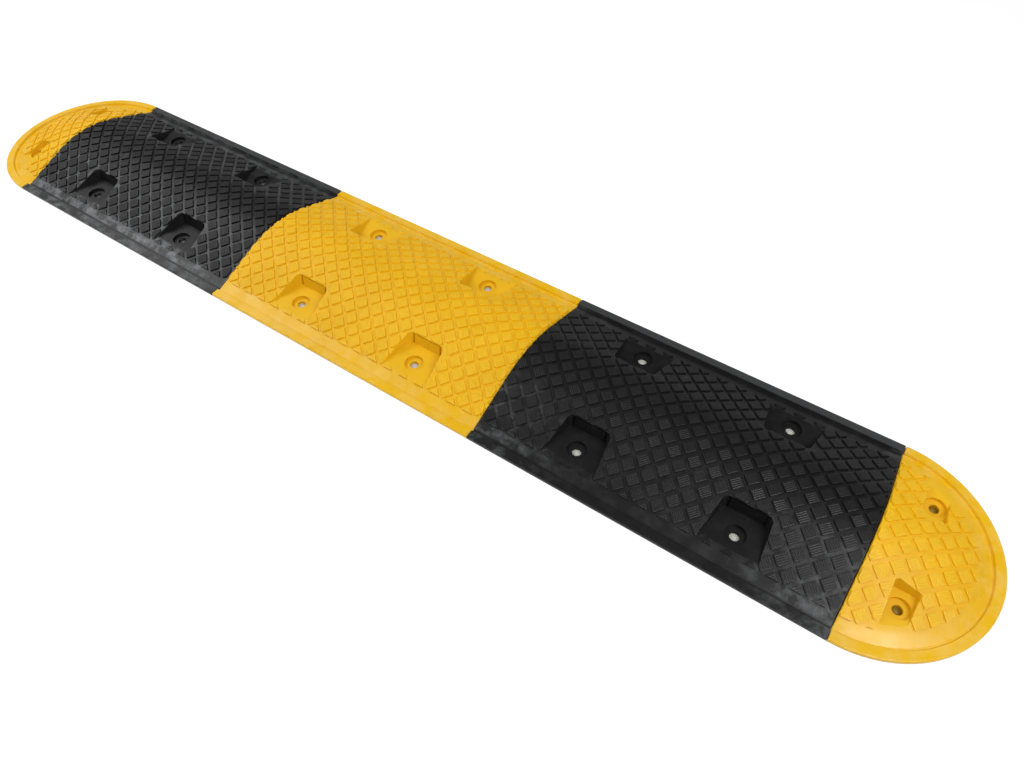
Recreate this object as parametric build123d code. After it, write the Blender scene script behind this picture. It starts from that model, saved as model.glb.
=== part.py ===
"""A bolt-down speed ramp: three straight rubber sections and two half-round end caps, laid end to end.

Millimetres. X runs along the ramp, Y across it and Z up; the origin is on the road at the ramp's middle.
"""
from build123d import *
import os
from math import atan2, ceil, cos, radians, sin, tan

# Main sizes of the row
SECTION_LENGTH = 500.0
RAMP_WIDTH = 310.0
CREST_HEIGHT = 38.5
JOINT_GAP = 0.8
JOINT_CHAMFER = 1.0

# Cross-section: a kerb lip, a narrow groove, a straight slope and a rounded crest
LIP_WIDTH = 12.5
LIP_HEIGHT = 5.0
LIP_EDGE_RADIUS = 1.6
LIP_STEP = 1.5  # width of the lip's steep inner side, seen from above
GROOVE_WIDTH = 2.5
GROOVE_HEIGHT = 1.5  # from the road to the groove's floor, where the slope starts
CREST_BREAK = 31.0  # from the centre line to where the straight slopes would reach the crest's height

# Tread: square pads set cornerwise, in rows that shift by half a pitch
PAD_SIDE = 13.8
PAD_HEIGHT = 2.0
PAD_PITCH = 28.5
PAD_ROW_PITCH = 13.9
SMOOTH_BAND = 16.0  # plain strip between the tread and the groove
JOINT_BAND = 2.0  # plain strip between the tread and a joint

# Bolt holes, each with a counterbored seat in the floor of a pocket
HOLE_DIAMETER = 13.0
COUNTERBORE_DIAMETER = 28.0
SEAT_HEIGHT = 4.5
SECTION_HOLE_SPACING = 225.0
SECTION_HOLE_EDGE = 61.0  # from the long edge of the ramp to the holes
CAP_HOLE_SETBACK = 55.0  # from the cap's joint face to its holes
CAP_HOLE_EDGE = 77.0

# Pockets: flat floors that run out on the slope, walled towards the crest and on both sides
POCKET_FLOOR = 9.2
POCKET_DRAFT = 10.0
SECTION_POCKET_WIDTH = 59.0
SECTION_POCKET_CORNER = 3.0
SECTION_POCKET_FLARE = 10.5
SECTION_POCKET_REACH = 31.0  # from the holes to the foot of the back wall
CAP_POCKET_WIDTH = 28.0
CAP_POCKET_CORNER = 1.5
CAP_POCKET_FLARE = 0.0
CAP_POCKET_REACH = 23.5

# Groove round the panel in the back wall of a section's pocket, along its top and sides
PANEL_GROOVE_SPAN = 51.0
PANEL_GROOVE_TOP = 18.6  # up the wall from the pocket's floor
PANEL_GROOVE_WIDTH = 2.2
PANEL_GROOVE_DEPTH = 3.0

# Steel washers moulded in under the bolt seats
WASHER_DIAMETER = 34.0
WASHER_BORE = 15.0
WASHER_THICKNESS = 1.5
WASHER_COVER = 1.0  # rubber between the bolt seat and the washer
MOULDED_IN_CLEARANCE = 0.1

# Dowels that line up the joints: a snug fit in one moulding and a loose one in the next
DOWEL_DIAMETER = 14.0
DOWEL_DEPTH = 30.0
DOWEL_SPACING = 70.0
DOWEL_HEIGHT = 16.0
DOWEL_CHAMFER = 1.5
SNUG_CLEARANCE = 0.1
LOOSE_CLEARANCE = 0.5
BLIND_END_CLEARANCE = 1.0

# Shallow cells in the underside, between lands that stand on the road
CELL_DEPTH = 5.0
CELLS_ALONG = 4
CELLS_ACROSS = 3
END_LAND = 24.0
EDGE_LAND = 50.0
RIB_WIDTH = 16.0
BOSS_DIAMETER = 50.0

# Places that follow from the sizes above
half_length = SECTION_LENGTH / 2
half_width = RAMP_WIDTH / 2
lip_inner = half_width - LIP_WIDTH
groove_edge = lip_inner - LIP_STEP
slope_foot = groove_edge - GROOVE_WIDTH
tread_edge = slope_foot - SMOOTH_BAND
slope_angle = atan2(CREST_HEIGHT - GROOVE_HEIGHT, slope_foot - CREST_BREAK)
shoulder = CREST_BREAK * (1 + cos(slope_angle))
shoulder_height = CREST_HEIGHT - CREST_BREAK * sin(slope_angle)
washer_base = SEAT_HEIGHT - WASHER_COVER - WASHER_THICKNESS
section_pitch = SECTION_LENGTH + JOINT_GAP
cap_place = section_pitch + half_length + JOINT_GAP

SIDES = {"front": -1, "rear": 1}
ENDS = {"left": -1, "right": 1}
ON_BASE = (Align.CENTER, Align.CENTER, Align.MIN)

section_holes = {
    f"{side}_{end}": (ENDS[end] * SECTION_HOLE_SPACING / 2, SIDES[side] * (half_width - SECTION_HOLE_EDGE))
    for side in SIDES
    for end in ENDS
}
cap_holes = {side: (CAP_HOLE_SETBACK, SIDES[side] * (half_width - CAP_HOLE_EDGE)) for side in SIDES}


def half_cross_section():
    """The ramp's cross-section from the centre line to the +Y edge."""
    crest_radius = shoulder / sin(slope_angle)
    arc_middle = slope_angle / 2
    lip_side = (half_width, LIP_HEIGHT - LIP_EDGE_RADIUS)
    lip_top = (half_width - LIP_EDGE_RADIUS, LIP_HEIGHT)
    crest = (0, CREST_HEIGHT)
    with BuildSketch(Plane.YZ) as sketch:
        with BuildLine():
            Polyline(crest, (0, 0), (half_width, 0), lip_side)
            RadiusArc(lip_side, lip_top, -LIP_EDGE_RADIUS)
            Polyline(
                lip_top,
                (lip_inner, LIP_HEIGHT),
                (groove_edge, GROOVE_HEIGHT),
                (slope_foot, GROOVE_HEIGHT),
                (shoulder, shoulder_height),
            )
            ThreePointArc(
                (shoulder, shoulder_height),
                (crest_radius * sin(arc_middle), CREST_HEIGHT - crest_radius * (1 - cos(arc_middle))),
                crest,
            )
        make_face()
    return sketch.sketch


def pocket_floor(hole, reach, width, corner, flare):
    """Plan of a pocket's floor: its back is towards the crest and its sides run out at the tread's edge."""
    along, across = hole
    back = abs(across) - reach
    half = width / 2
    outer_half = half + (tread_edge - back - corner) * tan(radians(flare))
    right_side = [(half - corner, back), (half, back + corner), (outer_half, tread_edge)]
    left_side = [(-x, y) for x, y in reversed(right_side)]
    floor = make_face(Polyline(*right_side, *left_side, close=True))
    if across < 0:
        floor = Rot(0, 0, 180) * floor
    return Pos(along, 0) * floor


def pocket_space(floor):
    """The space above a pocket's floor, inside its drafted walls."""
    return extrude(Pos(0, 0, POCKET_FLOOR) * floor, CREST_HEIGHT, dir=(0, 0, 1), taper=-POCKET_DRAFT)


def panel_groove(hole):
    """The groove in the back wall of a section's pocket, as a frame that is open at the floor."""
    along, across = hole
    on_floor = (Align.CENTER, Align.MIN)
    outer = Rectangle(PANEL_GROOVE_SPAN, PANEL_GROOVE_TOP, align=on_floor)
    panel_width = PANEL_GROOVE_SPAN - 2 * PANEL_GROOVE_WIDTH
    panel = Rectangle(panel_width, PANEL_GROOVE_TOP - PANEL_GROOVE_WIDTH, align=on_floor)
    groove = extrude(Plane.XZ * (outer - panel), PANEL_GROOVE_DEPTH, both=True)
    groove = Pos(0, abs(across) - SECTION_POCKET_REACH, POCKET_FLOOR) * Rot(POCKET_DRAFT, 0, 0) * groove
    if across < 0:
        groove = Rot(0, 0, 180) * groove
    return Pos(along, 0) * groove


def tread_pads(blank, region, floors, lattice_centre):
    """Pads that stand above the blank's skin inside the region, left out over the pocket floors."""
    rows = ceil(tread_edge / PAD_ROW_PITCH)
    columns = ceil(SECTION_LENGTH / PAD_PITCH)
    pad = Box(PAD_SIDE, PAD_SIDE, 2 * CREST_HEIGHT, align=ON_BASE, rotation=(0, 0, 45))
    reach = region.bounding_box()
    pads = []
    for row in range(-rows, rows + 1):
        for column in range(-columns, columns + 1):
            x = lattice_centre + PAD_PITCH * (column + (row + 1) % 2 / 2)
            y = PAD_ROW_PITCH * row
            in_reach = reach.min.X - PAD_SIDE < x < reach.max.X + PAD_SIDE
            over_floor = any(floor.face().is_inside((x, y, 0)) for floor in floors)
            if in_reach and not over_floor:
                pads.append(Pos(x, y, GROOVE_HEIGHT) * pad)
    raised = (Pos(0, 0, PAD_HEIGHT) * blank) & extrude(region, 2 * CREST_HEIGHT)
    return raised & Compound(pads)


def bolt_hole():
    """A through hole with a counterbore above the bolt seat and a groove for the washer moulded in below it."""
    drill = Cylinder(HOLE_DIAMETER / 2, CREST_HEIGHT, align=ON_BASE)
    counterbore = Cylinder(COUNTERBORE_DIAMETER / 2, CREST_HEIGHT, align=ON_BASE)
    groove = Cylinder(WASHER_DIAMETER / 2 + MOULDED_IN_CLEARANCE, WASHER_THICKNESS, align=ON_BASE)
    return drill + Pos(0, 0, SEAT_HEIGHT) * counterbore + Pos(0, 0, washer_base) * groove


def washer():
    """A flat steel ring round the bolt hole, just under the rubber of a bolt seat."""
    ring = Circle(WASHER_DIAMETER / 2) - Circle(WASHER_BORE / 2)
    return Pos(0, 0, washer_base) * extrude(ring, WASHER_THICKNESS)


def dowel():
    """A round bar along X, centred on a joint, with chamfered ends."""
    bar = Cylinder(DOWEL_DIAMETER / 2, 2 * DOWEL_DEPTH + JOINT_GAP, rotation=(0, 90, 0))
    return chamfer(bar.edges().filter_by(GeomType.CIRCLE), DOWEL_CHAMFER)


def dowel_holes(face, inwards, clearance):
    """A pair of blind holes from a joint face into a moulding, inwards being +1 or -1 along X."""
    depth = DOWEL_DEPTH + BLIND_END_CLEARANCE
    drill = Cylinder(DOWEL_DIAMETER / 2 + clearance, depth, rotation=(0, 90, 0))
    middle = face + inwards * depth / 2
    return [Pos(middle, side * DOWEL_SPACING / 2, DOWEL_HEIGHT) * drill for side in SIDES.values()]


def section_cells():
    """Plan of the grid of cells under a straight section."""
    along = (SECTION_LENGTH - 2 * END_LAND + RIB_WIDTH) / CELLS_ALONG
    across = (RAMP_WIDTH - 2 * EDGE_LAND + RIB_WIDTH) / CELLS_ACROSS
    cell = Rectangle(along - RIB_WIDTH, across - RIB_WIDTH)
    return Sketch() + GridLocations(along, across, CELLS_ALONG, CELLS_ACROSS) * cell


def cap_cells():
    """Plan of the two cells under an end cap, either side of a middle rib."""
    disc = Circle(half_width - EDGE_LAND)
    joint_side = Pos(END_LAND - half_width, 0) * Rectangle(RAMP_WIDTH, RAMP_WIDTH)
    return disc - joint_side - Rectangle(RAMP_WIDTH, RIB_WIDTH)


def soften_joints(blank):
    """A blank with its joint faces chamfered, except where they stand on the road."""
    edges = blank.faces().filter_by(Axis.X).edges()
    return chamfer(edges.filter_by(lambda edge: edge.center().Z > 0), JOINT_CHAMFER)


def moulding(blank, pads, pockets, holes, cell_plan):
    """A blank with its tread, pockets, bolt holes and the cells of its underside."""
    drills = [Pos(*hole) * bolt_hole() for hole in holes]
    bosses = [Pos(*hole) * Circle(BOSS_DIAMETER / 2) for hole in holes]
    cells = extrude(cell_plan - bosses, CELL_DEPTH)
    return soften_joints(blank) + pads - pockets - drills - cells


def straight_section():
    """A straight moulding centred on the origin, before its dowel holes."""
    half = half_cross_section()
    blank = extrude(half + mirror(half, about=Plane.XZ), half_length, both=True)
    holes = list(section_holes.values())
    floors = [
        pocket_floor(hole, SECTION_POCKET_REACH, SECTION_POCKET_WIDTH, SECTION_POCKET_CORNER, SECTION_POCKET_FLARE)
        for hole in holes
    ]
    region = Rectangle(SECTION_LENGTH - 2 * JOINT_BAND, 2 * tread_edge)
    pockets = [pocket_space(floor) for floor in floors] + [panel_groove(hole) for hole in holes]
    return moulding(blank, tread_pads(blank, region, floors, 0), pockets, holes, section_cells())


def end_cap():
    """A half-round moulding with its joint face on the YZ plane, before its dowel holes."""
    blank = revolve(half_cross_section(), Axis.Z, -180)
    holes = list(cap_holes.values())
    floors = [
        pocket_floor(hole, CAP_POCKET_REACH, CAP_POCKET_WIDTH, CAP_POCKET_CORNER, CAP_POCKET_FLARE)
        for hole in holes
    ]
    region = Circle(tread_edge) & Pos(half_width / 2 + JOINT_BAND, 0) * Rectangle(half_width, RAMP_WIDTH)
    pockets = [pocket_space(floor) for floor in floors]
    return moulding(blank, tread_pads(blank, region, floors, -half_length), pockets, holes, cap_cells())


def save(shape, node):
    """Write one node's solids."""
    export_step(shape, f"parts/{node}.step")


os.makedirs("parts", exist_ok=True)
section = straight_section()
cap = end_cap()

# The middle section holds both inner pairs of dowels, so its holes are snug at both ends
middle_section = section
for sign in ENDS.values():
    middle_section -= dowel_holes(sign * half_length, -sign, SNUG_CLEARANCE)
save(middle_section, "middle_yellow_section")
for place, hole in section_holes.items():
    save(Pos(*hole) * washer(), f"middle_section_washer_{place}")

for end, sign in ENDS.items():
    # A black section slides onto the middle section's dowels and holds the pair for its end cap
    section_place = Pos(sign * section_pitch, 0)
    loose_holes = dowel_holes(-sign * half_length, sign, LOOSE_CLEARANCE)
    snug_holes = dowel_holes(sign * half_length, -sign, SNUG_CLEARANCE)
    save(section_place * (section - loose_holes - snug_holes), f"{end}_black_section")
    for place, hole in section_holes.items():
        save(section_place * Pos(*hole) * washer(), f"{end}_section_washer_{place}")

    # The same cap serves at both ends, turned half round for the left one
    cap_turn = Pos(sign * cap_place, 0) * Rot(0, 0, 90 - sign * 90)
    save(cap_turn * (cap - dowel_holes(0, 1, LOOSE_CLEARANCE)), f"{end}_end_cap")
    for place, (setback, across) in cap_holes.items():
        save(cap_turn * Pos(setback, sign * across) * washer(), f"{end}_cap_washer_{place}")

    # Dowels stand half in each moulding of a joint
    joints = {"section": half_length + JOINT_GAP / 2, "cap": cap_place - JOINT_GAP / 2}
    for joint, distance in joints.items():
        for place, side in SIDES.items():
            bar_place = Pos(sign * distance, side * DOWEL_SPACING / 2, DOWEL_HEIGHT)
            save(bar_place * dowel(), f"{end}_{joint}_dowel_{place}")
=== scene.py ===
from math import cos, hypot, radians, sin, sqrt, tan

import bpy
from mathutils import Matrix, Vector


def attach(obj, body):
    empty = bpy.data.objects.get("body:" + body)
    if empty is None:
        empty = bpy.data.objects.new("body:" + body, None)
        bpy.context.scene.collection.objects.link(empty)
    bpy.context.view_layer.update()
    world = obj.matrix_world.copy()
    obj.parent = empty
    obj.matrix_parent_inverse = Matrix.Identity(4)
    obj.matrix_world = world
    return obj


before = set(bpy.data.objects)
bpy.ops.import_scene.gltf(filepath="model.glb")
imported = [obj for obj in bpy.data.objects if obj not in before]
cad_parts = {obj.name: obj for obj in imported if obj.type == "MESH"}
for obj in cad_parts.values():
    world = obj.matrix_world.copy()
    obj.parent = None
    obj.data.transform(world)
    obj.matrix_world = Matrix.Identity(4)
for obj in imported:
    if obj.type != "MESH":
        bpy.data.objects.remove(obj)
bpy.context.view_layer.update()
bpy.ops.object.select_all(action="DESELECT")


# Middle section
# A straight moulding of yellow rubber, coloured all through, with a satin skin from the mould.
# It lies in the middle of the row, and its neighbours slide onto the dowels in its ends.
HALF_LENGTH = 0.25
JOINT_GAP = 0.0008
SECTION_PITCH = 2 * HALF_LENGTH + JOINT_GAP
CAP_PLACE = SECTION_PITCH + HALF_LENGTH + JOINT_GAP

HALF_WIDTH = 0.155
LIP_WIDTH = 0.0125
LIP_STEP = 0.0015
GROOVE_WIDTH = 0.0025
SMOOTH_BAND = 0.016
LIP_EDGE = HALF_WIDTH - LIP_WIDTH
SLOPE_FOOT = LIP_EDGE - LIP_STEP - GROOVE_WIDTH
TREAD_EDGE = SLOPE_FOOT - SMOOTH_BAND
TREAD_BORDER = (TREAD_EDGE - 0.0045, TREAD_EDGE + 0.0035)

GRAIN_SCALE = 1600
GRAIN_STRENGTH = 0.2
GRAIN_HEIGHT = 0.0003
RUBBER_SPECULAR = 0.2

YELLOW_DEEP = (0.755, 0.425, 0.003)
YELLOW_LIGHT = (0.81, 0.465, 0.006)
YELLOW_PAINTED_SIDE_LIGHT = (0.97, 0.58, 0.006)
YELLOW_ROUGHNESS = (0.24, 0.36)
PATCH_CLOUDS = (0.35, 0.65)
SCUFF_AND_SHEEN_CLOUDS = (0.42, 0.66)
SHEEN_CLOUDS = (0.3, 0.7)
STEEP_TO_FLAT = (0.3, 0.8)
SCUFF_AND_PAINTED_SHEEN = (0.84, 0.62, 0.22)
SCUFF_AND_SHEEN_SHARE = 0.3
TREAD_SCUFF_AND_SHEEN = 0.05
TREAD_WEAR = 0.2


def add_node(material, kind, **settings):
    """A new shader node with its settings."""
    new = material.node_tree.nodes.new(kind)
    for setting, value in settings.items():
        setattr(new, setting, value)
    return new


def wire(material, start, end):
    """Join an output socket to an input socket."""
    material.node_tree.links.new(start, end)


def noise(material, coordinates, scale, detail, roughness):
    """A cloud of values about 0.5; scale is in waves for each metre."""
    clouds = add_node(material, "ShaderNodeTexNoise")
    clouds.inputs["Scale"].default_value = scale
    clouds.inputs["Detail"].default_value = detail
    clouds.inputs["Roughness"].default_value = roughness
    wire(material, coordinates, clouds.inputs["Vector"])
    return clouds.outputs["Fac"]


def spread(material, value, old_range, new_range):
    """The value carried from one range to another and held inside it."""
    mapped = add_node(material, "ShaderNodeMapRange")
    mapped.inputs["From Min"].default_value = old_range[0]
    mapped.inputs["From Max"].default_value = old_range[1]
    mapped.inputs["To Min"].default_value = new_range[0]
    mapped.inputs["To Max"].default_value = new_range[1]
    wire(material, value, mapped.inputs["Value"])
    return mapped.outputs["Result"]


def blend(material, amount, first, second):
    """A colour between two, each of which is a colour or a socket."""
    mixed = add_node(material, "ShaderNodeMix", data_type="RGBA")
    wire(material, amount, mixed.inputs["Factor"])
    for socket, colour in ((mixed.inputs[6], first), (mixed.inputs[7], second)):
        if isinstance(colour, tuple):
            socket.default_value = (*colour, 1)
        else:
            wire(material, colour, socket)
    return mixed.outputs[2]


def combine(material, operation, *values):
    """Several values worked into one, each with the one before."""
    result = values[0]
    for value in values[1:]:
        step = add_node(material, "ShaderNodeMath", operation=operation)
        wire(material, result, step.inputs[0])
        wire(material, value, step.inputs[1])
        result = step.outputs[0]
    return result


def calculate(material, value, operation, number):
    """A value worked out from another and a fixed number."""
    step = add_node(material, "ShaderNodeMath", operation=operation)
    wire(material, value, step.inputs[0])
    step.inputs[1].default_value = number
    return step.outputs[0]


def size_of(material, value):
    """The value without its sign."""
    unsigned = add_node(material, "ShaderNodeMath", operation="ABSOLUTE")
    wire(material, value, unsigned.inputs[0])
    return unsigned.outputs[0]


def position_of(material, coordinates):
    """The separate X, Y and Z of a place or a direction."""
    parts = add_node(material, "ShaderNodeSeparateXYZ")
    wire(material, coordinates, parts.inputs["Vector"])
    return parts.outputs


def from_centre_line(material, position):
    """Distance across from the ramp's centre line, which ends at the joints of the caps."""
    past_joint = calculate(material, size_of(material, position["X"]), "SUBTRACT", CAP_PLACE)
    offset = add_node(material, "ShaderNodeCombineXYZ")
    wire(material, calculate(material, past_joint, "MAXIMUM", 0), offset.inputs["X"])
    wire(material, position["Y"], offset.inputs["Y"])
    length = add_node(material, "ShaderNodeVectorMath", operation="LENGTH")
    wire(material, offset.outputs["Vector"], length.inputs[0])
    return length.outputs["Value"]


def new_finish(name):
    """A material with its shader and the coordinates that its patterns follow."""
    material = bpy.data.materials.new(name)
    material.use_nodes = True
    shader = material.node_tree.nodes["Principled BSDF"]
    coordinates = add_node(material, "ShaderNodeTexCoord").outputs["Object"]
    return material, shader, coordinates


def rough_skin(material, shader, coordinates):
    """The low gloss of moulded rubber, and the fine grain that the mould leaves on it, as bump."""
    shader.inputs["Specular IOR Level"].default_value = RUBBER_SPECULAR
    grain = noise(material, coordinates, scale=GRAIN_SCALE, detail=2, roughness=0.5)
    bump = add_node(material, "ShaderNodeBump")
    bump.inputs["Strength"].default_value = GRAIN_STRENGTH
    bump.inputs["Distance"].default_value = GRAIN_HEIGHT
    wire(material, grain, bump.inputs["Height"])
    wire(material, bump.outputs["Normal"], shader.inputs["Normal"])


def new_yellow(name, painted_side_light):
    """Yellow rubber, with pale scuffs and painted sheen on its plain bands, and painted light that makes
    its steep sides a lighter yellow.
    """
    rubber, shader, coordinates = new_finish(name)
    patches = noise(rubber, coordinates, scale=16, detail=4, roughness=0.55)
    colour = blend(rubber, spread(rubber, patches, PATCH_CLOUDS, (0, 1)), YELLOW_DEEP, YELLOW_LIGHT)

    normal = add_node(rubber, "ShaderNodeNewGeometry").outputs["True Normal"]
    upright = size_of(rubber, position_of(rubber, normal)["Z"])
    # Painted light: steep faces get a lighter yellow, as if lit from the side.
    colour = blend(rubber, spread(rubber, upright, STEEP_TO_FLAT, (painted_side_light, 0)), colour, YELLOW_PAINTED_SIDE_LIGHT)

    distance = from_centre_line(rubber, position_of(rubber, coordinates))
    # Pale colour in clouds on the plain bands: scuffs, and partly painted sheen.
    edge_bands = spread(rubber, distance, TREAD_BORDER, (TREAD_SCUFF_AND_SHEEN, 1))
    scuff_and_sheen_noise = noise(rubber, coordinates, scale=45, detail=6, roughness=0.7)
    scuffs_and_painted_sheen = spread(rubber, scuff_and_sheen_noise, SCUFF_AND_SHEEN_CLOUDS, (0, SCUFF_AND_SHEEN_SHARE))
    colour = blend(rubber, combine(rubber, "MULTIPLY", edge_bands, scuffs_and_painted_sheen), colour, SCUFF_AND_PAINTED_SHEEN)
    wire(rubber, colour, shader.inputs["Base Color"])

    sheen = noise(rubber, coordinates, scale=40, detail=3, roughness=0.6)
    sheen_patches = spread(rubber, sheen, SHEEN_CLOUDS, YELLOW_ROUGHNESS)
    wear = spread(rubber, distance, TREAD_BORDER, (TREAD_WEAR, 0))
    wire(rubber, combine(rubber, "ADD", sheen_patches, wear), shader.inputs["Roughness"])
    rough_skin(rubber, shader, coordinates)
    return rubber


yellow_rubber = new_yellow("moulded_yellow_rubber", painted_side_light=0)
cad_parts["middle_yellow_section"].material_slots[0].material = yellow_rubber


# Black sections
# The same straight moulding in black rubber, one on each side of the middle section.
# Pale road dust lies on the plain bands along the edges and in the gaps of the tread, most of all at the
# front of the left section and at the ends of the right one. The lips along the rear are evenly paler. As
# painted shade, the grooves at the foot of the slopes, the crest and the pockets keep nearly no dust.
CREST_HEIGHT = 0.0385
CREST_BREAK = 0.031
GROOVE_HEIGHT = 0.0015
SLOPE = (CREST_HEIGHT - GROOVE_HEIGHT) / (SLOPE_FOOT - CREST_BREAK)
SLOPE_TOP = GROOVE_HEIGHT + SLOPE_FOOT * SLOPE

BLACK = (0.008, 0.008, 0.0084)
DUST = (0.19, 0.194, 0.2)
CLEAN = 0.03
THIN_DUST = 0.08
LIP_DUST = 0.6
GROOVE_PAINTED_SHADE = 0.1
REAR_DUST = 0.4
RIGHT_DUST = 0.55
REAR_LIP_PALENESS = 0.2
ROUGHNESS_STEP = 0.16

DUST_CLOUDS = (0.44, 0.62)
LIP_BORDER = (LIP_EDGE - 0.001, LIP_EDGE + 0.001)
GROOVE_REACH = (0.001, 0.003)
FRONT_TO_REAR = (-0.1, 0.1)
LEFT_TO_MIDDLE = (-0.35, -0.15)
RIGHT_ENDS = (0.11, 0.25)
SUNK_TO_LEVEL = (SLOPE_TOP - 0.0015, SLOPE_TOP - 0.0003)


def new_black(name, tread_dust, smoothest):
    """Black rubber with dust on the bands, and less on the tread; painted shade leaves the grooves, the
    crest and the pockets nearly without dust.
    """
    rubber, shader, coordinates = new_finish(name)
    position = position_of(rubber, coordinates)
    across = size_of(rubber, position["Y"])
    bands = spread(rubber, across, TREAD_BORDER, (tread_dust, 1))
    lips = spread(rubber, across, LIP_BORDER, (1, LIP_DUST))
    # Painted shade: the groove at the foot of each slope keeps little dust, so it shows as a dark line.
    from_groove = size_of(rubber, calculate(rubber, across, "SUBTRACT", SLOPE_FOOT))
    painted_groove_shade = spread(rubber, from_groove, GROOVE_REACH, (GROOVE_PAINTED_SHADE, 1))
    front = spread(rubber, position["Y"], FRONT_TO_REAR, (1, REAR_DUST))
    left = spread(rubber, position["X"], LEFT_TO_MIDDLE, (1, CLEAN))
    from_middle = size_of(rubber, calculate(rubber, position["X"], "SUBTRACT", SECTION_PITCH))
    right = spread(rubber, from_middle, RIGHT_ENDS, (CLEAN, RIGHT_DUST))
    ends = combine(rubber, "MAXIMUM", left, right)
    # Painted shade: below the line of the slopes, on the crest and in the pockets, the dust is left off.
    from_line = combine(rubber, "ADD", position["Z"], calculate(rubber, across, "MULTIPLY", SLOPE))
    on_slope = spread(rubber, from_line, SUNK_TO_LEVEL, (CLEAN, 1))
    patches = noise(rubber, coordinates, scale=45, detail=8, roughness=0.7)
    clouds = spread(rubber, patches, DUST_CLOUDS, (THIN_DUST, 1))
    dust = combine(rubber, "MULTIPLY", bands, lips, painted_groove_shade, front, ends, on_slope, clouds)
    # The lips along the rear are made evenly paler.
    pale_rear_lip = spread(rubber, position["Y"], LIP_BORDER, (0, REAR_LIP_PALENESS))
    dust = combine(rubber, "MAXIMUM", dust, pale_rear_lip)
    wire(rubber, blend(rubber, dust, BLACK, DUST), shader.inputs["Base Color"])

    roughness = spread(rubber, clouds, (0, 1), (smoothest, smoothest + ROUGHNESS_STEP))
    wire(rubber, roughness, shader.inputs["Roughness"])
    rough_skin(rubber, shader, coordinates)
    return rubber


black_rubber = new_black("moulded_black_rubber", tread_dust=0.6, smoothest=0.3)
for end in ("left", "right"):
    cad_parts[f"{end}_black_section"].material_slots[0].material = black_rubber


# End caps
# Half-round mouldings of the same yellow rubber, which slope down to the road all round the ramp's ends.
# Each slides onto the pair of dowels that its black section holds.
for end in ("left", "right"):
    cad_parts[f"{end}_end_cap"].material_slots[0].material = yellow_rubber


# Tread pads
# Low square blocks set cornerwise, moulded in one with the skin, with steep sides and fine ribs on top.
# The ribs of neighbouring rows run at right angles, like a basket weave.
PAD_FOOT = 0.0151
PAD_TOP = 0.0148
PAD_RISE = 0.0022
PAD_ROOT = 0.0004
PAD_RIM = 0.0006
RIB_COUNT = 5
RIB_RISE = 0.0002
RIB_SIDE = 0.0007
UPWARDS = 0.9


def select_faces(piece, wanted):
    """Select only the wanted faces, and stay in edit mode."""
    bpy.ops.mesh.select_mode(type="FACE")
    bpy.ops.mesh.select_all(action="DESELECT")
    bpy.ops.object.mode_set(mode="OBJECT")
    for face in piece.data.polygons:
        face.select = wanted(face)
    bpy.ops.object.mode_set(mode="EDIT")


bpy.ops.mesh.primitive_cube_add(size=1, location=(0, 0, (PAD_RISE - PAD_ROOT) / 2))
pad = bpy.context.object
pad.scale = (PAD_FOOT, PAD_FOOT, PAD_RISE + PAD_ROOT)
bpy.ops.object.transform_apply(location=True, rotation=True, scale=True)

bpy.ops.object.mode_set(mode="EDIT")
select_faces(pad, lambda face: face.normal.z > UPWARDS)
bpy.ops.transform.resize(value=(PAD_TOP / PAD_FOOT, PAD_TOP / PAD_FOOT, 1))
bpy.ops.mesh.inset(thickness=PAD_RIM, depth=0)
ribbed = PAD_TOP / 2 - PAD_RIM


def in_ribbed_part(face):
    """True for the faces of the pad's top that lie inside its rim."""
    inside = max(abs(face.center.x), abs(face.center.y)) < ribbed - RIB_SIDE
    return inside and face.normal.z > UPWARDS


for rib in range(1, RIB_COUNT):
    cut = ribbed * (2 * rib / RIB_COUNT - 1)
    bpy.ops.mesh.bisect(plane_co=(0, cut, 0), plane_no=(0, 1, 0))
    select_faces(pad, in_ribbed_part)
bpy.ops.mesh.inset(thickness=RIB_SIDE, depth=RIB_RISE, use_individual=True)
bpy.ops.object.mode_set(mode="OBJECT")


# Tread of a straight section
# Rows of pads on the skin between the plain bands along its edges and joints, cut off at the pockets.
# The rows are half a pitch apart in turn, so that the pads make a diamond pattern.
PAD_PITCH = 0.0285
ROW_PITCH = 0.0139
PAD_TURN = radians(45)
JOINT_BAND = 0.002
OVERLAP = 0.00005
ROWS = range(-9, 10)
COLUMNS = range(-9, 10)

SLOPE_COSINE = 1 / sqrt(1 + SLOPE * SLOPE)
SHOULDER = CREST_BREAK * (1 + SLOPE_COSINE)
CREST_RADIUS = SHOULDER / (SLOPE * SLOPE_COSINE)

SECTION_HOLE_X = 0.1125
SECTION_HOLE_Y = 0.094
SECTION_HOLES = (-SECTION_HOLE_X, SECTION_HOLE_X)
SECTION_REACH = 0.031
SECTION_POCKET = {
    "back": SECTION_HOLE_Y - SECTION_REACH,
    "half": 0.0295,
    "corner": 0.003,
    "flare": radians(10.5),
}
POCKET_FLOOR = 0.0093
POCKET_DRAFT = radians(10)
BLOCK_SIDE = 0.12
BLOCK_PLACE = (0, TREAD_EDGE - 0.02, 0.05)
DIAGONAL = sqrt(0.5)


def skin_height(distance):
    """Height of the plain skin at a distance from the ramp's centre line."""
    if distance < SHOULDER:
        return CREST_HEIGHT - CREST_RADIUS + sqrt(CREST_RADIUS * CREST_RADIUS - distance * distance)
    return GROOVE_HEIGHT + (SLOPE_FOOT - distance) * SLOPE


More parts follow.
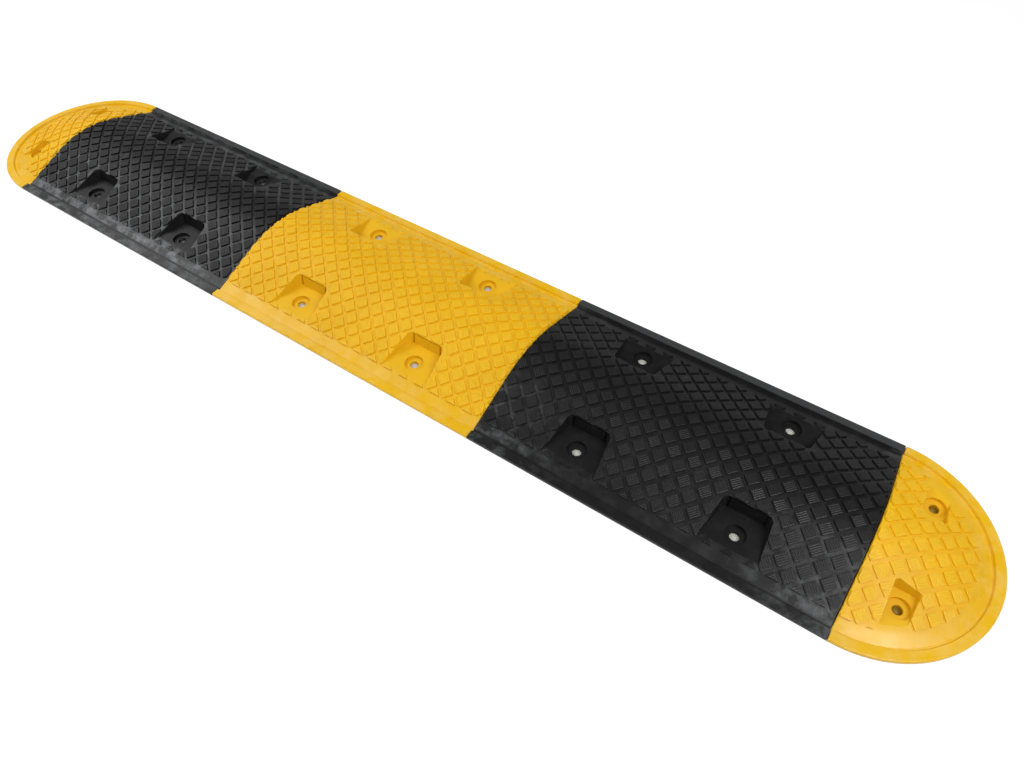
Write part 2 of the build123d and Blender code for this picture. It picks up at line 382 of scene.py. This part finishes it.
def lay_on_skin(tread, roundness):
    """Carry a flat tread onto the skin, square to it; roundness is 0 for a section and 1 for a cap."""
    for vertex in tread.data.vertices:
        x = roundness * vertex.co.x
        y = vertex.co.y
        distance = max(hypot(x, y), OVERLAP)
        lean = min(distance, SHOULDER) / CREST_RADIUS
        height = vertex.co.z
        vertex.co.x += height * lean * x / distance
        vertex.co.y += height * lean * y / distance
        vertex.co.z = skin_height(distance) + height * sqrt(1 - lean * lean)


def in_pocket(from_hole, y, back, half, corner, flare):
    """True where a pad's middle would lie over a pocket's floor."""
    from_back = abs(y) - back
    outer_half = half + (from_back - corner) * tan(flare)
    return 0 < from_back and abs(y) < TREAD_EDGE and abs(from_hole) < outer_half


def pattern(columns, start):
    """The row and the place of each pad in the diamond pattern."""
    for row in ROWS:
        for column in columns:
            yield row, PAD_PITCH * (column + (row + 1) % 2 / 2) + start, ROW_PITCH * row


def copy_piece(piece, name, place):
    """A copy with its own mesh, put in its place."""
    twin = bpy.data.objects.new(name, piece.data.copy())
    twin.data.transform(place)
    bpy.context.collection.objects.link(twin)
    return twin


def lay_pad(row, x, y):
    """A copy of the pad on its place in the pattern, turned the other way in every second row."""
    turn = Matrix.Rotation(PAD_TURN if row % 2 else -PAD_TURN, 4, "Z")
    laid = copy_piece(pad, "laid_pad", Matrix.Translation((x, y, 0)) @ turn)
    laid.select_set(True)
    return laid


def join_selected(active, name):
    """Join the selected pieces into one."""
    bpy.context.view_layer.objects.active = active
    bpy.ops.object.join()
    active.name = name
    return active


def cut_away(piece, point, direction):
    """Cut a piece along a plane and close it, dropping what lies past the plane."""
    bpy.ops.object.select_all(action="DESELECT")
    piece.select_set(True)
    bpy.context.view_layer.objects.active = piece
    bpy.ops.object.mode_set(mode="EDIT")
    bpy.ops.mesh.select_all(action="SELECT")
    bpy.ops.mesh.bisect(plane_co=point, plane_no=direction, use_fill=True, clear_outer=True)
    bpy.ops.object.mode_set(mode="OBJECT")


def cut_with(tread, tool, operation):
    """Cut a tread with a closed shape, which is then removed."""
    bpy.ops.object.select_all(action="DESELECT")
    bpy.context.view_layer.objects.active = tread
    cut = tread.modifiers.new("cut", "BOOLEAN")
    cut.operation = operation
    cut.solver = "EXACT"
    cut.object = tool
    bpy.ops.object.modifier_apply(modifier="cut")
    bpy.data.objects.remove(tool)


def pocket_space(back, half, corner, flare):
    """The space of a pocket towards +Y with its hole at X = 0, as a block cut by the pocket's walls."""
    bpy.ops.object.select_all(action="DESELECT")
    bpy.ops.mesh.primitive_cube_add(size=BLOCK_SIDE, location=BLOCK_PLACE)
    space = bpy.context.object
    bpy.ops.object.transform_apply(location=True, rotation=True, scale=True)
    cut_away(space, (0, 0, POCKET_FLOOR), (0, 0, -1))
    lean = -sin(POCKET_DRAFT)
    upright = cos(POCKET_DRAFT)
    inner_half = half - OVERLAP
    walls = [((0, back + OVERLAP), (0, -1))]
    for side in (-1, 1):
        walls.append(((side * inner_half, back + corner), (side * cos(flare), -sin(flare))))
        walls.append(((side * inner_half, back + corner), (side * DIAGONAL, -DIAGONAL)))
    for (x, y), (out_x, out_y) in walls:
        cut_away(space, (x, y, POCKET_FLOOR), (out_x * upright, out_y * upright, lean))
    return space


def cut_pockets(tread, holes_x, pocket):
    """Take the spaces of the pockets out of a tread, one on each side of the crest at each hole."""
    space = pocket_space(**pocket)
    spaces = []
    for hole_x in holes_x:
        for turn in (0, radians(180)):
            place = Matrix.Translation((hole_x, 0, 0)) @ Matrix.Rotation(turn, 4, "Z")
            spaces.append(copy_piece(space, "pocket_space", place))
    bpy.data.objects.remove(space)
    bpy.ops.object.select_all(action="DESELECT")
    for space in spaces:
        space.select_set(True)
    cut_with(tread, join_selected(spaces[0], "pocket_spaces"), "DIFFERENCE")


bpy.ops.object.select_all(action="DESELECT")
laid_pads = []
for row, x, y in pattern(COLUMNS, 0):
    pocketed = any(in_pocket(x - hole_x, y, **SECTION_POCKET) for hole_x in SECTION_HOLES)
    if not pocketed and abs(x) < HALF_LENGTH + PAD_FOOT / 2:
        laid_pads.append(lay_pad(row, x, y))
section_tread = join_selected(laid_pads[-1], "section_tread")
tread_end = HALF_LENGTH - JOINT_BAND + OVERLAP
tread_side = TREAD_EDGE + OVERLAP
for sign in (1, -1):
    cut_away(section_tread, (sign * tread_end, 0, 0), (sign, 0, 0))
for sign in (1, -1):
    cut_away(section_tread, (0, sign * tread_side, 0), (0, sign, 0))
lay_on_skin(section_tread, 0)
cut_pockets(section_tread, SECTION_HOLES, SECTION_POCKET)

black_tread = new_black("worn_black_rubber", tread_dust=CLEAN, smoothest=0.38)
# The yellow tread's steep pad sides get painted light.
yellow_tread = new_yellow("worn_yellow_rubber_painted_side_light", painted_side_light=0.5)
section_row = (
    ("left", -SECTION_PITCH, black_tread, "black_rubber"),
    ("middle", 0, yellow_tread, "yellow_rubber"),
    ("right", SECTION_PITCH, black_tread, "black_rubber"),
)
for section, place, finish, finish_slot in section_row:
    tread = copy_piece(section_tread, f"{section}_section_tread", Matrix.Translation((place, 0, 0)))
    tread.data.materials.append(finish)
    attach(tread, f"{section}_section")
bpy.data.objects.remove(section_tread)


# Tread of an end cap
# The same pads go on across the joint and stop at a circle, inside the plain band round the cap.
# They are moulded in one with the cap, and cut off at its two pockets.
CAP_HOLE_X = 0.055
CAP_HOLE_Y = 0.078
CAP_REACH = 0.0235
CAP_POCKET = {"back": CAP_HOLE_Y - CAP_REACH, "half": 0.014, "corner": 0.0015, "flare": 0}
CAP_COLUMNS = range(8, 15)
ROUND_SIDES = 96

bpy.ops.object.select_all(action="DESELECT")
laid_pads = []
for row, x, y in pattern(CAP_COLUMNS, -HALF_LENGTH):
    pocketed = in_pocket(x - CAP_HOLE_X, y, **CAP_POCKET)
    in_reach = -PAD_FOOT / 2 < x and hypot(x, y) < TREAD_EDGE + PAD_FOOT / 2
    if in_reach and not pocketed:
        laid_pads.append(lay_pad(row, x, y))
cap_tread = join_selected(laid_pads[-1], "cap_tread")
cut_away(cap_tread, (JOINT_BAND - OVERLAP, 0, 0), (-1, 0, 0))

bpy.ops.object.select_all(action="DESELECT")
bpy.ops.mesh.primitive_cylinder_add(vertices=ROUND_SIDES, radius=tread_side, depth=2 * CREST_HEIGHT)
cut_with(cap_tread, bpy.context.object, "INTERSECT")
lay_on_skin(cap_tread, 1)
cut_pockets(cap_tread, [CAP_HOLE_X], CAP_POCKET)

for end, turn in {"left": radians(180), "right": 0}.items():
    place = Matrix.Rotation(turn, 4, "Z") @ Matrix.Translation((CAP_PLACE, 0, 0))
    tread = copy_piece(cap_tread, f"{end}_cap_tread", place)
    tread.data.materials.append(yellow_tread)
    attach(tread, f"{end}_cap")
bpy.data.objects.remove(cap_tread)
bpy.data.objects.remove(pad)


# Dowels and washers
# Round steel bars that line up the joints, and steel rings moulded into the rubber under the bolt seats.
# Both are plain zinc-plated steel with a fine mottle.
STEEL_DARK = (0.42, 0.42, 0.41)
STEEL_LIGHT = (0.62, 0.62, 0.60)
STEEL_ROUGHNESS = (0.28, 0.45)
STEEL_CLOUDS = (0.3, 0.7)

steel, shader, coordinates = new_finish("plated_steel")
shader.inputs["Metallic"].default_value = 1
mottle = noise(steel, coordinates, scale=300, detail=4, roughness=0.6)
wire(steel, blend(steel, mottle, STEEL_DARK, STEEL_LIGHT), shader.inputs["Base Color"])
wire(steel, spread(steel, mottle, STEEL_CLOUDS, STEEL_ROUGHNESS), shader.inputs["Roughness"])
for name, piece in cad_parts.items():
    if "dowel" in name or "washer" in name:
        piece.material_slots[0].material = steel


# Studio
# A pale floor in an even white room, with a softbox at each end of the row and one in front. Two cards and
# a dark flag show only in the ramp's gloss. The floor is white round the ramp, with its soft shadow, and
# has painted shade under it: grey, brown in the holes of the caps and dark in those of the left section.
FLOOR_SIZE = 80
FLOOR_DROP = 0.0003
FLOOR_WHITE = (0.9, 0.9, 0.9)
FLOOR_GREY = (0.6, 0.6, 0.55)
FLOOR_GLOW = 1.15
SHADOW_SHARE = 0.3
CAP_HOLE_SHADE_BROWN = (0.26, 0.15, 0.012)
SHADE = (0.09, 0.09, 0.09)
HOLE_REACH = 0.012
HOLE_DEPTH = 0.008
HOLE_SKY = (0.75, 0.9)
MATT = 0.9

bpy.ops.object.select_all(action="DESELECT")
bpy.ops.mesh.primitive_plane_add(size=FLOOR_SIZE, location=(0, 0, -FLOOR_DROP))
floor = bpy.context.object
floor.name = "floor"
bpy.ops.object.transform_apply(location=True, rotation=True, scale=True)
floor_white, shader, coordinates = new_finish("floor_white")
shader.inputs["Roughness"].default_value = MATT
shader.inputs["Specular IOR Level"].default_value = 0


def in_holes(material, enclosed, along, across, hole_x, hole_y):
    """How enclosed the floor is in four holes at equal distances from a middle, and 0 elsewhere."""
    shares = [enclosed]
    for value, place in ((along, hole_x), (across, hole_y)):
        offset = size_of(material, calculate(material, size_of(material, value), "SUBTRACT", place))
        shares.append(calculate(material, offset, "LESS_THAN", HOLE_REACH))
    return combine(material, "MULTIPLY", *shares)


position = position_of(floor_white, coordinates)
open_sky = add_node(floor_white, "ShaderNodeAmbientOcclusion")
open_sky.inputs["Distance"].default_value = HOLE_DEPTH
enclosed = spread(floor_white, open_sky.outputs["AO"], HOLE_SKY, (1, 0))
cap_hole_place = CAP_PLACE + CAP_HOLE_X
painted_cap_hole_shade = in_holes(floor_white, enclosed, position["X"], position["Y"], cap_hole_place, CAP_HOLE_Y)
from_left_middle = calculate(floor_white, position["X"], "ADD", SECTION_PITCH)
shade = in_holes(floor_white, enclosed, from_left_middle, position["Y"], SECTION_HOLE_X, SECTION_HOLE_Y)
# Painted shade under the ramp: a grey floor, brown in the caps' holes and dark in the left section's holes.
under_ramp = blend(floor_white, shade, blend(floor_white, painted_cap_hole_shade, FLOOR_GREY, CAP_HOLE_SHADE_BROWN), SHADE)
round_ramp = calculate(floor_white, from_centre_line(floor_white, position), "GREATER_THAN", HALF_WIDTH)
wire(floor_white, blend(floor_white, round_ramp, under_ramp, FLOOR_WHITE), shader.inputs["Base Color"])

rays = add_node(floor_white, "ShaderNodeLightPath").outputs
seen_rays = (rays["Is Camera Ray"], rays["Is Glossy Ray"], rays["Is Transmission Ray"])
seen = combine(floor_white, "MAXIMUM", *seen_rays)
glow_share = combine(floor_white, "MULTIPLY", round_ramp, seen)
glow = add_node(floor_white, "ShaderNodeEmission")
glow.inputs["Strength"].default_value = FLOOR_GLOW
seen_white = add_node(floor_white, "ShaderNodeMixShader")
wire(floor_white, spread(floor_white, glow_share, (0, 1), (0, 1 - SHADOW_SHARE)), seen_white.inputs["Fac"])
wire(floor_white, shader.outputs["BSDF"], seen_white.inputs[1])
wire(floor_white, glow.outputs["Emission"], seen_white.inputs[2])
surface = floor_white.node_tree.nodes["Material Output"].inputs["Surface"]
wire(floor_white, seen_white.outputs["Shader"], surface)
floor.data.materials.append(floor_white)

FLAG_PLACE = (-1.2, 1.5, 1.75)
FLAG_SIZE = (7, 0.02, 1.3)
FLAG_BLACK = (0.02, 0.02, 0.02, 1)
bpy.ops.object.select_all(action="DESELECT")
bpy.ops.mesh.primitive_cube_add(size=1, location=FLAG_PLACE)
flag = bpy.context.object
flag.name = "dark_flag"
flag.scale = FLAG_SIZE
bpy.ops.object.transform_apply(location=True, rotation=True, scale=True)
flag_black, shader, _ = new_finish("flag_black")
shader.inputs["Base Color"].default_value = FLAG_BLACK
shader.inputs["Roughness"].default_value = MATT
flag.data.materials.append(flag_black)
flag.visible_diffuse = False
flag.visible_shadow = False

ROOM_WHITE = (1, 1, 1, 1)
ROOM_LIGHT = 0.43
world = bpy.data.worlds.new("studio")
bpy.context.scene.world = world
world.use_nodes = True
room = world.node_tree.nodes["Background"]
room.inputs["Color"].default_value = ROOM_WHITE
room.inputs["Strength"].default_value = ROOM_LIGHT

LAMPS = {
    "left_softbox": {"place": (-1.56, 0, 1.56), "aim": (0, 0, 0), "size": 1.2, "power": 20},
    "right_softbox": {"place": (1.56, 0, 1.56), "aim": (0, 0, 0), "size": 1.0, "power": 17},
    "front_softbox": {"place": (0, -1.56, 1.56), "aim": (0, 0, 0), "size": 1.0, "power": 7.5},
    "glare_card": {"place": (1.6, -0.25, 1.8), "aim": (0.8, -0.1, 0), "size": 0.5, "power": 9},
    "rib_card": {"place": (1.7, -0.85, 1.8), "aim": (0.75, -0.08, 0), "size": 0.9, "power": 34},
}
for name, settings in LAMPS.items():
    bpy.ops.object.light_add(type="AREA", location=settings["place"])
    lamp = bpy.context.object
    lamp.name = name
    lamp.data.size = settings["size"]
    lamp.data.energy = settings["power"]
    lamp.visible_diffuse = "card" not in name
    lamp.rotation_euler = (Vector(settings["aim"]) - lamp.location).to_track_quat("-Z", "Y").to_euler()

CAMERA_PLACE = (0.6287, -0.5901, 0.8501)
CAMERA_AZIMUTH = radians(34.67)
CAMERA_ELEVATION = radians(51.94)
CAMERA_ROLL = radians(-1.21)
CAMERA_SENSOR = 36
CAMERA_LENS = 26.38
CAMERA_NEAREST = 0.01
bpy.ops.object.camera_add()
camera = bpy.context.object
turn = Matrix.Rotation(CAMERA_AZIMUTH, 4, "Z")
tilt = Matrix.Rotation(radians(90) - CAMERA_ELEVATION, 4, "X")
roll = Matrix.Rotation(CAMERA_ROLL, 4, "Z")
camera.matrix_world = Matrix.Translation(CAMERA_PLACE) @ turn @ tilt @ roll
camera.data.sensor_width = CAMERA_SENSOR
camera.data.lens = CAMERA_LENS
camera.data.clip_start = CAMERA_NEAREST
bpy.context.scene.camera = camera
bpy.context.scene.view_settings.view_transform = "Standard"
